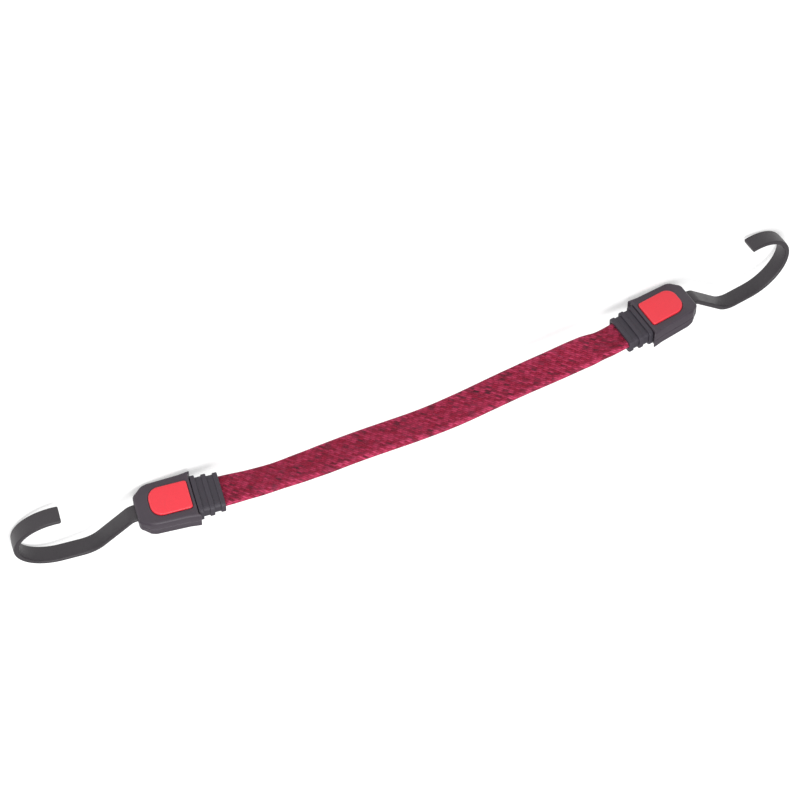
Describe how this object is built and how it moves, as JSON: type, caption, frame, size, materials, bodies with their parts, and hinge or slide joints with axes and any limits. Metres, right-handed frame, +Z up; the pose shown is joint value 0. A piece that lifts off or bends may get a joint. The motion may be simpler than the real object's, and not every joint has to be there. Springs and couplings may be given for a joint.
{
  "type": "flat bungee cord",
  "caption": "Flat elastic strap with a plastic housing and a flat-bar J-hook on each end, for holding loads down by hooking its two ends over rails, loops or edges.",
  "frame": {"origin": "centre of the footprint of the two ends, on the table that the cord lies on", "axes": "+X along the cord towards end a, -Y the way the red caps face, +Z up across the width of the strap, which stands on edge"},
  "size_m": [0.4584, 0.0522, 0.0311],
  "materials": {
    "hook_coating": "satin black coating on flat steel bar",
    "bare_steel": "plain zinc-plated steel",
    "shell_plastic": "moulded charcoal black, slightly satin",
    "cap_plastic": "moulded coral red, smooth satin",
    "sleeve_plastic": "moulded charcoal black, matt",
    "woven_yarn": "woven crimson yarn with rows of black flecks",
    "latex": "natural rubber strand"
  },
  "bodies": {
    "end_a": {"hook_a": "hook_coating", "hook_rivet_a": "bare_steel", "front_shell_a": "shell_plastic", "back_shell_a": "shell_plastic", "lock_cap_a": "cap_plastic", "neck_sleeve_a": "sleeve_plastic", "strap_ferrule_a": "bare_steel"},
    "sheath": {"strap_sheath": "woven_yarn"},
    "cores": {"rubber_core_1": "latex", "rubber_core_2": "latex", "rubber_core_3": "latex", "rubber_core_4": "latex", "rubber_core_5": "latex"},
    "end_b": {"hook_b": "hook_coating", "hook_rivet_b": "bare_steel", "front_shell_b": "shell_plastic", "back_shell_b": "shell_plastic", "lock_cap_b": "cap_plastic", "neck_sleeve_b": "sleeve_plastic", "strap_ferrule_b": "bare_steel"}
  },
  "joints": [
    {"name": "neck_a_flex", "type": "hinge", "parent": "end_a", "child": "sheath", "pos_m": [0.1039, 0.0027, 0.0183], "axis": [0, 0, 1], "range_deg": [-70, 70], "stiffness_Nm_per_rad": 0.02, "deforming": ["strap_sheath"]},
    {"name": "strap_stretch", "type": "slide", "parent": "sheath", "child": "cores", "axis": [-1, 0, 0], "range_m": [0, 0.175], "stiffness_N_per_m": 600, "deforming": ["strap_sheath", "rubber_core_1", "rubber_core_2", "rubber_core_3", "rubber_core_4", "rubber_core_5"]},
    {"name": "neck_b_flex", "type": "hinge", "parent": "cores", "child": "end_b", "pos_m": [-0.1039, 0.0023, 0.0187], "axis": [0, 0, 1], "range_deg": [-70, 70], "stiffness_Nm_per_rad": 0.02, "deforming": ["strap_sheath"]}
  ]
}
